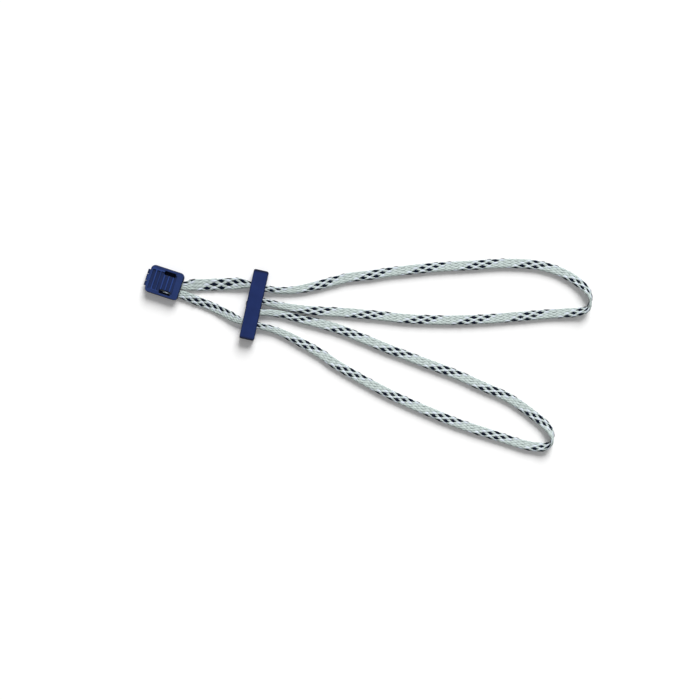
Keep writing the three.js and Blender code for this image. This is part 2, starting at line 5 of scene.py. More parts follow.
import bmesh
import bpy
from mathutils import Matrix, Vector
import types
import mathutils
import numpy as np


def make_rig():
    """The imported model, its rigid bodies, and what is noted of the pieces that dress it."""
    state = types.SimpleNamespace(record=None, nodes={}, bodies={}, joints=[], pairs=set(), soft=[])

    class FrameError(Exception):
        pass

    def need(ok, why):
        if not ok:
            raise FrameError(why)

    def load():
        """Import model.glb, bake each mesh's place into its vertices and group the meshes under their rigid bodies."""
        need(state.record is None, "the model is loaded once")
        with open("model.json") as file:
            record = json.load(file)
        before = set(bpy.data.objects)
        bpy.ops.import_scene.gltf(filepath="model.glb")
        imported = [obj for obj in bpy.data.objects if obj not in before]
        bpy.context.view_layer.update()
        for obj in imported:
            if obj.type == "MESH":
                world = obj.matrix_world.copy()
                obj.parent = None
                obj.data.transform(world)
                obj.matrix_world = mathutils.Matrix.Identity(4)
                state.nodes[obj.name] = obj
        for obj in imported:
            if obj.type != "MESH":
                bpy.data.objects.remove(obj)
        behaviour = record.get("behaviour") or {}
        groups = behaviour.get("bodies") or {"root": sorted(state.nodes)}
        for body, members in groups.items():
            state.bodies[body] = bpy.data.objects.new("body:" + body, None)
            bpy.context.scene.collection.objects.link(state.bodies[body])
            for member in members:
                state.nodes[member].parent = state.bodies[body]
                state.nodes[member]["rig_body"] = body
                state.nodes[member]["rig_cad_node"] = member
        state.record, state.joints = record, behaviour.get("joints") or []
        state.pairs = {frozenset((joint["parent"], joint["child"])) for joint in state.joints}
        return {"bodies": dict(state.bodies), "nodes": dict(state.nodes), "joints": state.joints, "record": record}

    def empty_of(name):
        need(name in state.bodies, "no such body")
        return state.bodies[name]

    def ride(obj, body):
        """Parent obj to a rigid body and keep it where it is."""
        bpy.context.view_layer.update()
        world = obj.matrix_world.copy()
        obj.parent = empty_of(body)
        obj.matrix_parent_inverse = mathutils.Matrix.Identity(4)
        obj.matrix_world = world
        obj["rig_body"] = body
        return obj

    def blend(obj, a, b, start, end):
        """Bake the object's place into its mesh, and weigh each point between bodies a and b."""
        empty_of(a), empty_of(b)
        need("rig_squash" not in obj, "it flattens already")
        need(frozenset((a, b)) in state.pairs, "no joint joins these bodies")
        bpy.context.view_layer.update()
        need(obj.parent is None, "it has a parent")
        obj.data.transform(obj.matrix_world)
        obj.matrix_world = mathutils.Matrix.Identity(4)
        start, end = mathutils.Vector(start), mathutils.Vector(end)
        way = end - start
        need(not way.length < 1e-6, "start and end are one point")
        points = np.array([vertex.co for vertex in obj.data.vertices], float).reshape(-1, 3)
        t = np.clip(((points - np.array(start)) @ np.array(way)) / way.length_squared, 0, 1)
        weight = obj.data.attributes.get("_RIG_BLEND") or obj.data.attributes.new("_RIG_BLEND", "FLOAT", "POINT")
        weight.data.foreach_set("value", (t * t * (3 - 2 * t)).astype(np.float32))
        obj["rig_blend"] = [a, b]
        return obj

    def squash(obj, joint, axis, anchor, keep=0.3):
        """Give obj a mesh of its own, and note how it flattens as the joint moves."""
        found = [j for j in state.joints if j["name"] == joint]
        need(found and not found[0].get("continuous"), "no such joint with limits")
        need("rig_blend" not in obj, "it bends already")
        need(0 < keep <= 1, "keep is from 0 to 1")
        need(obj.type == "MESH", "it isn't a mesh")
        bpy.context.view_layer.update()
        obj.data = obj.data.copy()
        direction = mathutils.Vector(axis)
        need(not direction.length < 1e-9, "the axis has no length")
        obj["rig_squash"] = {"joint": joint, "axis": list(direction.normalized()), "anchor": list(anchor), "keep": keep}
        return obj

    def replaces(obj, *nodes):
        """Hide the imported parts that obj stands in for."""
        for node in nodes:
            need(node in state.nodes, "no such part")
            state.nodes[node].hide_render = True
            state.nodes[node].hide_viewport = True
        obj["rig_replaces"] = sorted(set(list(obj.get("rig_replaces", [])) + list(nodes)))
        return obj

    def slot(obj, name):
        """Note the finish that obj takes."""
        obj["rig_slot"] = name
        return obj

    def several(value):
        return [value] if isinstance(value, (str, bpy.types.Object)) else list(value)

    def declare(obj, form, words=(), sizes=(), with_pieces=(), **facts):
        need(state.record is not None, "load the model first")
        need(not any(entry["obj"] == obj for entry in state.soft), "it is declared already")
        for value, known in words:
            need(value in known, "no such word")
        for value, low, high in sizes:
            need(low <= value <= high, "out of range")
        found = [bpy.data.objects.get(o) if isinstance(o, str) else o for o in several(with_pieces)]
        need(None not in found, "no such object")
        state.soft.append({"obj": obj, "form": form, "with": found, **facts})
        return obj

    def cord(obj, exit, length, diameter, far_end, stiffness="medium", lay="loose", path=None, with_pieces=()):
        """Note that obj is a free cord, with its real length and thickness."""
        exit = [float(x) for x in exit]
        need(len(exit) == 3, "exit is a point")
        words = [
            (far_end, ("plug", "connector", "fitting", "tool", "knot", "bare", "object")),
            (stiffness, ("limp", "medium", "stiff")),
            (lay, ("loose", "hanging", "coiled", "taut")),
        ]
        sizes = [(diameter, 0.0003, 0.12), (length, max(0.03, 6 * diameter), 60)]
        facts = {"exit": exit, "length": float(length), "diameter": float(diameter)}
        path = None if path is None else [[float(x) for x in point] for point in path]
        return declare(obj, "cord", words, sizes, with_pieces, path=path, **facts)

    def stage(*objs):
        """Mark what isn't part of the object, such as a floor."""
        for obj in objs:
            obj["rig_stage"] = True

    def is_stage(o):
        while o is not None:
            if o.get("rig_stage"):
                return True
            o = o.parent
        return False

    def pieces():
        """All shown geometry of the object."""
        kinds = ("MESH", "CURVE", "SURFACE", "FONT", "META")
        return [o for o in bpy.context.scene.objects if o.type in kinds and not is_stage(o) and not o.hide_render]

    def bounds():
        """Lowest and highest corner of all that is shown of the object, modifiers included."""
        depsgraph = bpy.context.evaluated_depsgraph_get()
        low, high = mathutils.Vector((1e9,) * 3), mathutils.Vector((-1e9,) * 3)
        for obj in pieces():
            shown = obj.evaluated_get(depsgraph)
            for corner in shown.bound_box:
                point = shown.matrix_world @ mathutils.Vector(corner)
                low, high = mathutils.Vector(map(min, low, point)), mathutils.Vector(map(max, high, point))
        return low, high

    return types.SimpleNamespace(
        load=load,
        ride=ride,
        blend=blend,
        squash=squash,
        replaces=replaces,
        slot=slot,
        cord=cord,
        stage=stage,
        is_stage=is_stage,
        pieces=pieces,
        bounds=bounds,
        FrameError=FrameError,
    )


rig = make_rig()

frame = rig.load()
cad_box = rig.bounds()
mm = 0.001

# The camera looks straight down on the restraint, which lies a little turned in its view.
# It stands two metres up, so that the bar's and the clip's sides hardly show.
camera_height, view_width = 2.0, 0.602
view_middle, view_turn = (0.0887, -0.0201), math.radians(12.4)
camera = bpy.data.objects.new("camera", bpy.data.cameras.new("camera"))
camera.location = (*view_middle, camera_height)
camera.rotation_euler = (0, 0, view_turn)
camera.data.lens = camera.data.sensor_width * camera_height / view_width
bpy.context.collection.objects.link(camera)
bpy.context.scene.camera = camera

# The cord is a flat tubular braid of sixteen flat nylon yarns, eight laid each way round.
# Two dark tracers, each between white yarns, run one way and the rest is pale sage.
# Its yarns are drawn here on any route: first the route, then the yarns, then their finish.
braid_pitch = 45.8 * mm
yarns_each_way = 8
yarn_thickness = 0.62 * mm
yarn_cover, yarn_crown = 1.06, 0.45
tracer_lift, long_float, dark_fullness = 0.2, 0.3, 0.22
dark_lanes, white_lanes = (0, 2), (7, 1, 3)
steps_per_pitch, tube_sides = 80, 6
bunched_section = (5.8 * mm, 3.6 * mm)


def cord_line(stops, samples=14):
    """Points along one smooth curve through the stops, each with its roll and turn."""
    places = [Vector(stop[:3]) for stop in stops]
    extras = [(tuple(stop[3:]) + (0, 0))[:2] for stop in stops]
    ends = [2 * places[0] - places[1], *places, 2 * places[-1] - places[-2]]
    line = []
    for i in range(len(places) - 1):
        a, b, c, d = ends[i:i + 4]
        before, across_gap, after = ((q - p).length ** 0.5 for p, q in ((a, b), (b, c), (c, d)))
        leave = across_gap * ((b - a) / before - (c - a) / (before + across_gap)
                              + (c - b) / across_gap)
        arrive = across_gap * ((c - b) / across_gap - (d - b) / (across_gap + after)
                               + (d - c) / after)
        last = i == len(places) - 2
        for k in range(samples + last):
            t = k / samples
            place = (b + leave * t + (3 * (c - b) - 2 * leave - arrive) * t * t
                     + (2 * (b - c) + leave + arrive) * t ** 3)
            roll, turn = ((1 - t) * p + t * q for p, q in zip(extras[i], extras[i + 1]))
            line.append((place, math.radians(roll), turn))
    return line


def smooth_step(value):
    t = min(max(value, 0), 1)
    return t * t * (3 - 2 * t)


def band_sizes(before, after, start, middle, end, spread):
    """Half width and half thickness, from the way gone and the way left along a stretch."""
    near_start, near_end = (1 - smooth_step(away / spread) for away in (before, after))
    return [(m + (s - m) * near_start + (e - m) * near_end) / 2
            for s, m, e in zip(start, middle, end)]


def path_mesh(name, stops, start, middle, end, spread, slip):
    """The centreline as joined points that carry the way across, the sizes and the turn.

    Where the band rolls over, its sheath slips back round it by this share of a turn."""
    line = cord_line(stops)
    mesh = bpy.data.meshes.new(name)
    count = len(line)
    mesh.from_pydata([p for p, _, _ in line], [(i, i + 1) for i in range(count - 1)], [])
    run = [0.0]
    for (p, _, _), (q, _, _) in zip(line, line[1:]):
        run.append(run[-1] + (q - p).length)
    across, bands = [], []
    for i, (_, roll, turn) in enumerate(line):
        ahead = (line[min(i + 1, count - 1)][0] - line[max(i - 1, 0)][0]).normalized()
        side = Vector((ahead.y, -ahead.x, 0)).normalized()
        across.extend(Matrix.Rotation(roll, 3, ahead) @ side)
        bands.extend(band_sizes(run[i], run[-1] - run[i], start, middle, end, spread))
        bands.append(turn - slip * roll / math.pi)
    for key, values in (("across", across), ("band", bands)):
        mesh.attributes.new(key, "FLOAT_VECTOR", "POINT").data.foreach_set("vector", values)
    return mesh, [p for p, _, _ in line], run[-1]


def add_node(tree, kind, *inputs, **settings):
    """One node, its inputs filled in order by values or links; None leaves one alone."""
    made = tree.nodes.new(kind)
    for key, value in settings.items():
        setattr(made, key, value)
    sockets = [s for s in made.inputs if s.enabled]
    for socket, value in zip(sockets, inputs):
        if isinstance(value, bpy.types.NodeSocket):
            tree.links.new(value, socket)
        elif value is not None:
            socket.default_value = value
    return made


def first_out(made):
    return next(s for s in made.outputs if s.enabled)


def maths(tree):
    """A short way to write the maths nodes of one tree."""
    def sums(operation, *terms, **settings):
        return first_out(add_node(tree, "ShaderNodeMath", *terms, operation=operation,
                                  **settings))
    return sums


def scaled(tree, vector, factor):
    made = add_node(tree, "ShaderNodeVectorMath", vector, operation="SCALE")
    tree.links.new(factor, made.inputs["Scale"])
    return made.outputs[0]


def sheath_tree():
    """Geometry nodes that lay the sixteen yarns over a route and weave them."""
    tree = bpy.data.node_groups.new("flat_braid", "GeometryNodeTree")
    face = tree.interface
    face.new_socket("Geometry", in_out="OUTPUT", socket_type="NodeSocketGeometry")
    face.new_socket("Route", in_out="INPUT", socket_type="NodeSocketGeometry")
    for name, value in (("Step", braid_pitch / steps_per_pitch), ("Pitch", braid_pitch),
                        ("Start turn", 0.0), ("Weave start", 0.0),
                        ("Yarn thickness", yarn_thickness), ("Yarn cover", yarn_cover),
                        ("Yarn crown", yarn_crown), ("Tracer lift", tracer_lift),
                        ("Long float", long_float), ("Dark fullness", dark_fullness)):
        face.new_socket(name, in_out="INPUT", socket_type="NodeSocketFloat").default_value = value
    for name in ("Plain", "Dark", "White"):
        face.new_socket(name, in_out="INPUT", socket_type="NodeSocketMaterial")
    given = tree.nodes.new("NodeGroupInput").outputs
    sums = maths(tree)

    def vectors(operation, *terms):
        return first_out(add_node(tree, "ShaderNodeVectorMath", *terms, operation=operation))

    def read(name, data_type="FLOAT"):
        return first_out(add_node(tree, "GeometryNodeInputNamedAttribute", name,
                                  data_type=data_type))

    def in_lane(number):
        """One on the yarn that runs in this lane the tracers' way, and nothing on the rest."""
        return sums("COMPARE", read("carrier"), float(yarns_each_way + number), 0.1)

    def keep(geometry, name, value):
        return add_node(tree, "GeometryNodeStoreNamedAttribute", geometry, None, name, value,
                        data_type="FLOAT", domain="POINT").outputs[0]

    def on_route(name, run):
        made = add_node(tree, "GeometryNodeSampleCurve", route, read(name, "FLOAT_VECTOR"), run,
                        data_type="FLOAT_VECTOR", mode="LENGTH")
        return {socket.name: socket for socket in made.outputs if socket.enabled}

    # Sixteen plain six-sided tubes as long as the route, one for each yarn.
    route = add_node(tree, "GeometryNodeMeshToCurve", given["Route"]).outputs[0]
    length = add_node(tree, "GeometryNodeCurveLength", route).outputs[0]
    yarn = add_node(tree, "GeometryNodeCurvePrimitiveLine", None,
                    add_node(tree, "ShaderNodeCombineXYZ", 0.0, 0.0, length).outputs[0]).outputs[0]
    yarn = add_node(tree, "GeometryNodeResampleCurve", yarn, None, given["Step"],
                    mode="LENGTH").outputs[0]
    yarn = keep(yarn, "run", add_node(tree, "GeometryNodeSplineParameter").outputs["Length"])
    copies = add_node(tree, "GeometryNodeDuplicateElements", yarn, None, 2 * yarns_each_way,
                      domain="SPLINE")
    yarns = keep(copies.outputs["Geometry"], "carrier", copies.outputs["Duplicate Index"])
    ring = add_node(tree, "GeometryNodeCurvePrimitiveCircle", tube_sides, mode="RADIUS").outputs[0]
    ring = add_node(tree, "GeometryNodeTransform", ring, None,
                    (0, 0, math.pi / tube_sides)).outputs[0]
    spot = add_node(tree, "ShaderNodeSeparateXYZ",
                    add_node(tree, "GeometryNodeInputPosition").outputs[0]).outputs
    ring = keep(ring, "yarn_depth", spot["X"])
    ring = keep(ring, "over_yarn", sums("MULTIPLY", sums("SIGN", spot["Y"]),
                                        sums("SQRT", sums("ABSOLUTE", spot["Y"]))))
    tubing = add_node(tree, "GeometryNodeCurveToMesh", yarns, ring)
    tubing.inputs["Fill Caps"].default_value = True
    tubes = tubing.outputs[0]

    # Each ring of a tube is cut along the line of the yarns that cross it.
    carrier, run, over = read("carrier"), read("run"), read("over_yarn")
    tracer_way = sums("GREATER_THAN", carrier, yarns_each_way - 0.5)
    way = sums("MULTIPLY_ADD", tracer_way, -2.0, 1.0)
    lane = sums("DIVIDE", sums("MULTIPLY_ADD", tracer_way, -yarns_each_way, carrier),
                yarns_each_way)
    cut = sums("MULTIPLY", over, sums("DIVIDE", given["Yarn cover"], 4 * yarns_each_way))
    dark = sums("ADD", *(in_lane(number) for number in dark_lanes))
    fuller = sums("MULTIPLY", dark, given["Dark fullness"])
    cut = sums("MULTIPLY_ADD", cut, fuller, cut)
    spot_run = sums("SUBTRACT", run, sums("MULTIPLY", sums("MULTIPLY", way, cut),
                                          given["Pitch"]))
    sides, sizes = on_route("across", spot_run), on_route("band", spot_run)
    band = add_node(tree, "ShaderNodeSeparateXYZ", sizes["Value"]).outputs
    half_height = band["Y"]
    weave = sums("DIVIDE", sums("SUBTRACT", run, given["Weave start"]), given["Pitch"])
    turned = sums("ADD", sums("MULTIPLY", way, weave), lane)
    turned = sums("ADD", sums("ADD", turned, cut), sums("ADD", band["Z"], given["Start turn"]))

    # Then the way round the band gives the place on its flats or its rounded edges.
    share = sums("SUBTRACT", turned, sums("ROUND", turned))
    flat_half = sums("SUBTRACT", band["X"], half_height)
    half_round = sums("MULTIPLY", half_height, math.pi)
    girth = sums("MULTIPLY_ADD", flat_half, 4.0, sums("MULTIPLY", half_round, 2.0))
    around = sums("MULTIPLY", share, girth)
    side, away = sums("SIGN", around), sums("ABSOLUTE", around)
    past_flat = sums("SUBTRACT", away, flat_half)
    bend = sums("DIVIDE", sums("MAXIMUM", sums("MINIMUM", past_flat, half_round), 0.0),
                half_height)
    back = sums("MAXIMUM", sums("SUBTRACT", past_flat, half_round), 0.0)

    # Yarns pass over and under one another, and the tracers float longest on the flats.
    crossings = sums("MULTIPLY", weave, 2 * yarns_each_way * math.pi)
    wave = sums("SINE", sums("MULTIPLY", sums("COSINE", crossings), math.pi / 2))
    swing = sums("MULTIPLY", sums("SUBTRACT", wave, given["Tracer lift"]),
                 sums("MULTIPLY", way, 0.5))
    slow = sums("MULTIPLY", sums("SINE", sums("MULTIPLY", crossings, 0.5)),
                sums("COSINE", sums("MULTIPLY", share, 2 * math.pi)))
    swing = sums("MULTIPLY_ADD", slow, sums("MULTIPLY", tracer_way, given["Long float"]), swing)
    swing = sums("MULTIPLY_ADD", read("yarn_depth"), given["Yarn crown"], swing)
    swing = sums("ADD", swing, fuller)
    thickness = given["Yarn thickness"]
    reach = sums("ADD", sums("SUBTRACT", half_height, thickness),
                 sums("MULTIPLY", swing, thickness))
    x = sums("MULTIPLY", side, sums("SUBTRACT", sums("MINIMUM", away, flat_half), back))
    x = sums("MULTIPLY_ADD", sums("MULTIPLY", side, sums("SINE", bend)), reach, x)
    z = sums("MULTIPLY", sums("COSINE", bend), reach)
    across = vectors("NORMALIZE", sides["Value"])
    up = vectors("CROSS_PRODUCT", across, sides["Tangent"])
    place = vectors("ADD", sides["Position"], vectors("ADD", scaled(tree, across, x),
                                                      scaled(tree, up, z)))

    # Past the route's ends the yarns run straight on.
    inside = sums("MINIMUM", sums("MAXIMUM", spot_run, 0.0), length)
    past_cut = sums("SUBTRACT", spot_run, inside)
    place = vectors("ADD", place, scaled(tree, sides["Tangent"], past_cut))
    laid = add_node(tree, "GeometryNodeSetPosition", tubes, None, place).outputs[0]
    laid = add_node(tree, "GeometryNodeSetShadeSmooth", laid).outputs[0]
    laid = add_node(tree, "GeometryNodeRealizeInstances", laid).outputs[0]
    laid = add_node(tree, "GeometryNodeSetMaterial", laid, None, given["Plain"]).outputs[0]
    for lanes, material in ((dark_lanes, "Dark"), (white_lanes, "White")):
        for lane_number in lanes:
            laid = add_node(tree, "GeometryNodeSetMaterial", laid, in_lane(lane_number),
                            given[material]).outputs[0]
    tree.links.new(laid, tree.nodes.new("NodeGroupOutput").inputs[0])
    return tree


def noise(tree, place, scale, detail):
    made = tree.nodes.new("ShaderNodeTexNoise")
    made.inputs["Scale"].default_value = scale
    made.inputs["Detail"].default_value = detail
    tree.links.new(place, made.inputs["Vector"])
    return first_out(made)


def finish_group(name, *inputs):
    """A shader group with its sockets only: its tree, what it is given and its results."""
    tree = bpy.data.node_groups.new(name, "ShaderNodeTree")
    face = tree.interface
    face.new_socket("Colour", in_out="INPUT", socket_type="NodeSocketColor")
    for key in inputs:
        face.new_socket(key, in_out="INPUT", socket_type="NodeSocketFloat")
    face.new_socket("Base Color", in_out="OUTPUT", socket_type="NodeSocketColor")
    for key in ("Roughness", "Height"):
        face.new_socket(key, in_out="OUTPUT", socket_type="NodeSocketFloat")
    return (tree, tree.nodes.new("NodeGroupInput").outputs,
            tree.nodes.new("NodeGroupOutput").inputs)


def coloured(name, finish, colour, shine, relief, relief_depth, **inputs):
    """A material in one colour of a finish, with the finish's fine relief as a bump."""
    material = bpy.data.materials.new(name)
    material.use_nodes = True
    tree = material.node_tree
    shader = tree.nodes["Principled BSDF"]
    skin = tree.nodes.new("ShaderNodeGroup")
    skin.node_tree = finish
    skin.inputs["Colour"].default_value = (*colour, 1)
    for key, value in inputs.items():
        skin.inputs[key].default_value = value
    tree.links.new(skin.outputs["Base Color"], shader.inputs["Base Color"])
    tree.links.new(skin.outputs["Roughness"], shader.inputs["Roughness"])
    shader.inputs["Specular IOR Level"].default_value = shine
    bump = tree.nodes.new("ShaderNodeBump")
    bump.inputs["Strength"].default_value = relief
    bump.inputs["Distance"].default_value = relief_depth
    tree.links.new(skin.outputs["Height"], bump.inputs["Height"])
    tree.links.new(bump.outputs["Normal"], shader.inputs["Normal"])
    return material


def yarn_finish():
    """Shader group: bright filaments along each yarn, painted shade where two yarns meet, and a painted sheen on the
    tracers' way.
    """
    across_rate, along_rate, yarn_shift = 6.0, 160.0, 7.3
    filament_rate, filament_wander = 22.0, 5.0
    tree, given, result = finish_group("yarn_filaments", "Painted way sheen")
    sums = maths(tree)
    over, run, carrier = (
        add_node(tree, "ShaderNodeAttribute", attribute_name=name).outputs["Fac"]
        for name in ("over_yarn", "run", "carrier"))
    strand = add_node(tree, "ShaderNodeCombineXYZ", sums("MULTIPLY", over, across_rate),
                      sums("MULTIPLY", run, along_rate),
                      sums("MULTIPLY", carrier, yarn_shift)).outputs[0]
    streak = noise(tree, strand, 2.0, 2.0)
    # Painted shade: a darker line where two yarns meet.
    painted_meeting_shade = sums("POWER", sums("ABSOLUTE", over), 3.0)
    tone = sums("MULTIPLY_ADD", streak, 0.16, 0.92)
    tone = sums("MULTIPLY_ADD", painted_meeting_shade, -0.06, tone)
    # Painted sheen: the yarns laid the tracers' way are lighter by this amount.
    tracer_way = sums("GREATER_THAN", carrier, yarns_each_way - 0.5)
    tone = sums("MULTIPLY_ADD", tracer_way, given["Painted way sheen"], tone)
    tree.links.new(scaled(tree, given["Colour"], tone), result["Base Color"])
    tree.links.new(sums("MULTIPLY_ADD", streak, 0.3, 0.42), result["Roughness"])
    ridge = sums("SINE", sums("MULTIPLY_ADD", over, filament_rate,
                              sums("MULTIPLY", streak, filament_wander)))
    tree.links.new(sums("MULTIPLY_ADD", ridge, 0.4, streak), result["Height"])
    return tree


filaments = yarn_finish()


def yarn(name, colour, painted_way_sheen, shine):
    return coloured(name, filaments, colour, shine, relief=0.35, relief_depth=0.06 * mm,
                    **{"Painted way sheen": painted_way_sheen})


sage_yarn = yarn("sage_yarn", (0.445, 0.514, 0.499), 0.05, 0.35)
dark_yarn = yarn("dark_yarn", (0.0015, 0.005, 0.016), 0, 0.05)
white_yarn = yarn("white_yarn", (0.57, 0.63, 0.695), 0, 0.4)
flat_braid = sheath_tree()


def braid(name, stops, middle, spread, ends=(bunched_section, bunched_section), slip=0.0,
          **inputs):
    """One stretch of braided cord; gives back its piece, its centreline and its length."""
    mesh, line, length = path_mesh(name + "_route", stops, ends[0], middle, ends[1], spread,
                                   slip)
    route = bpy.data.objects.new(name + "_route", mesh)
    bpy.context.collection.objects.link(route)
    laying = route.modifiers.new("braid", "NODES")
    laying.node_group = flat_braid
    values = {"Plain": sage_yarn, "Dark": dark_yarn, "White": white_yarn, **inputs}
    for item in flat_braid.interface.items_tree:
        if item.in_out == "INPUT" and item.name in values:
            laying[item.identifier] = values[item.name]
    seen = route.evaluated_get(bpy.context.evaluated_depsgraph_get())
    cord_mesh = bpy.data.meshes.new_from_object(seen)
    bpy.data.objects.remove(route)
    piece = bpy.data.objects.new(name, cord_mesh)
    bpy.context.collection.objects.link(piece)
    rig.slot(piece, "braided_cord")
    return piece, line, length


def in_metres(stops):
    return [(x * mm, y * mm, z * mm, *rest) for x, y, z, *rest in stops]


# The two loops are the wearer's cuffs: each leaves the bar, runs out flat and comes back.
# At its tip a loop stands on edge and turns over, so that its return shows the other face.
# Between the two the stiff braid lies tipped, one edge on the floor and one a little off it.
cord_width = 8.2 * mm
flat_section = (8.6 * mm, 2.4 * mm)
cord_start_x, passage_z, on_floor = 7 * mm, 4.35 * mm, 1.3 * mm

# A stop is x, y and z in millimetres, then the roll in degrees and the sheath's turn. The cord
# passes the bar's face at mouth and runs on to hidden, so that no cut end shows.
mouth, passage, lying = cord_start_x / mm, passage_z / mm, on_floor / mm
hidden = mouth - 2
upper_loop_stops = in_metres([
    (hidden, 15.8, passage, 0, -0.06), (mouth, 15.8, passage, 0, -0.06),
    (18, 16.6, 2.4, 0, -0.04), (30, 19.7, 1.8), (42, 24.5, 1.55), (53, 29.9, 1.4),
    (64, 35.4, lying), (75, 40.8, lying), (92, 46.6, lying), (109, 53.1, lying),
    (126, 58.9, lying), (143, 64.5, lying), (160, 69.3, lying), (178, 74.3, lying),
    (196, 79.5, lying), (213, 83.4, lying), (232, 85.7, lying), (249.5, 84.5, lying),
    (259, 82.2, 1.6, -5), (267, 79.2, 2.3, -16), (274, 75.4, 3.4, -36), (278.8, 71, 4.2, -60),
    (281.1, 66.2, 4.5, -80), (281.4, 61.8, 4.5, -96), (279.8, 57.8, 4.3, -118),
    (275.4, 54.8, 3.6, -140), (268, 52.2, 2.6, -162), (259.5, 49.8, 1.7, -175),
    (250, 47.1, lying, -180), (233.5, 42, lying, -180), (216, 36.7, lying, -180),
    (199, 31.5, lying, -180), (181, 26.8, lying, -180), (163.5, 22.6, lying, -180),
    (146, 19.2, lying, -180), (128, 16.3, lying, -180), (110, 14.4, lying, -180),
    (92, 12.3, lying, -180), (74, 9.9, lying, -180), (56, 6.8, 1.4, -180), (40, 5, 1.6, -180),
    (24, 4.3, 1.9, -180, 0.07), (14, 4.4, 3.2, -180, 0.13), (mouth, 4.5, passage, -180, 0.14),
    (hidden, 4.5, passage, -180, 0.14)])
lower_loop_stops = in_metres([
    (hidden, -4.9, passage), (mouth, -4.9, passage), (15, -3.7, 3.2), (27, -2.6, 1.85),
    (42, -3.3, 1.55), (57, -3.5, 1.4), (69, -4, lying), (81, -5.3, lying), (93, -7.4, lying),
    (105, -9.3, lying), (117, -11.5, lying), (135, -14.2, lying), (153, -16.8, lying),
    (171, -19.3, lying), (189, -22.3, lying), (207, -26.1, lying), (225, -29.6, lying),
    (237, -33.2, lying), (248, -37.8, lying), (257.5, -42.2, 1.6, -5), (264.8, -46, 2.4, -18),
    (270.2, -50, 3.4, -38), (273.6, -54.4, 4.3, -64), (274.8, -58.6, 4.5, -86),
    (273.8, -62.2, 4.4, -110), (270, -65.2, 3.7, -138), (263, -66.9, 2.5, -162),
    (254, -67.4, 1.6, -176), (244, -66.9, lying, -180), (226, -65, lying, -180),
    (208, -63.4, lying, -180), (190, -61.3, lying, -180), (172, -58.2, lying, -180),
    (154, -54.9, lying, -180), (136, -51.1, lying, -180), (118, -46.5, lying, -180),
    (101, -41.6, lying, -180), (89, -37.8, lying, -180), (77.5, -33.9, lying, -180),
    (66.5, -29.2, lying, -180), (55, -25.4, 1.4, -180), (43.5, -22.1, 1.55, -180),
    (31, -18.8, 1.75, -180), (19, -17.1, 2.4, -180, 0.03), (mouth, -16.6, passage, -180, 0.09),
    (hidden, -16.6, passage, -180, 0.09)])
loop_spread = 60 * mm
tip_angle, tip_arm = 17, (flat_section[0] - flat_section[1]) / 2
bar_reach_z, lying_drop = 3.2 * mm, 1.9 * mm


def tipped(stops):
    """The stops with the cord tipped up on one edge wherever it lies free on the floor."""
    result = []
    for x, y, z, *rest in stops:
        roll, turn = (*rest, 0, 0)[:2]
        tip = tip_angle * smooth_step((bar_reach_z - z) / lying_drop)
        tip *= math.cos(math.radians(roll)) ** 2
        result.append((x, y, z + tip_arm * math.sin(math.radians(tip)),
                       roll + (tip if roll < -90 else -tip), turn))
    return result


bunched_share = 0.31
for name, node, stops, turn, weave, pitch, slip in (
        ("upper_loop_braid", "cord_loop_upper", upper_loop_stops, -0.086, 3.65 * mm,
         braid_pitch, 0.115),
        ("lower_loop_braid", "cord_loop_lower", lower_loop_stops, 0.428, 7.15 * mm,
         45.5 * mm, 0.17)):
    piece, line, length = braid(name, tipped(stops), flat_section, loop_spread, slip=slip,
                                **{"Start turn": turn, "Weave start": weave, "Pitch": pitch})
    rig.ride(piece, "lock")
    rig.squash(piece, "cord_pull", axis=(1, 0, 0), anchor=(cord_start_x, 0, 0),
              keep=bunched_share)
    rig.replaces(piece, node)
    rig.cord(piece, exit=line[0], length=length, diameter=cord_width, far_end="object",
            stiffness="limp", lay="loose", path=line)

# The two tails come out of the bar's other side and run together into the end clip.
# Drawing the bar along the cord lengthens them as it takes up the loops.
clamped_section, clamped_z = (7 * mm, 1.7 * mm), 3.05 * mm
clamped = clamped_z / mm
upper_tail_stops = in_metres([
    (-65.5, 2.8, clamped, 0, 0.06), (-63.5, 2.9, clamped, 0, 0.06), (-61.5, 3.2, 3, 0, 0.06),
    (-59, 4.2, 2.8, 0, 0.1), (-56, 5.2, 2.6, 0, 0.17), (-50.2, 6.7, 2.2, 0, 0.06),
    (-46.5, 7.4, 1.9), (-42.6, 8.4, 1.9), (-38.5, 9.6, 1.9), (-34.3, 10.6, 1.9),
    (-30.1, 11.5, 2.1), (-26, 12.7, 2.4), (-21.8, 13.8, 2.8, 0, 0.03),
    (-17.7, 14.9, 3.2, 0, 0.08), (-13.5, 15.7, 3.8, 0, 0.14), (-mouth, 16, passage, 0, 0.23),
    (-hidden, 16, passage, 0, 0.25)])
lower_tail_stops = in_metres([
    (-66.2, -4.3, clamped), (-64.2, -4.4, clamped), (-62.5, -4.6, 3), (-60, -4.9, 2.8),
    (-55.2, -5.8, 2.4), (-50.5, -6.6, 2.1), (-46.7, -7.3, 1.9), (-42, -8, 1.9),
    (-38.2, -8.7, 1.9, 0, 0.02), (-34, -9.5, 1.9, 0, 0.07), (-29.8, -10.5, 2.1, 0, 0.13),
    (-25.5, -11.5, 2.4, 0, 0.2), (-21.4, -12.5, 2.8, 0, 0.26), (-17, -13.8, 3.2, 0, 0.32),
    (-13.1, -14.9, 3.8, 0, 0.38), (-9.8, -15.8, 4.2, 0, 0.43), (-mouth, -16, passage, 0, 0.47),
    (-hidden, -16, passage, 0, 0.5)])
tail_spread = 14 * mm
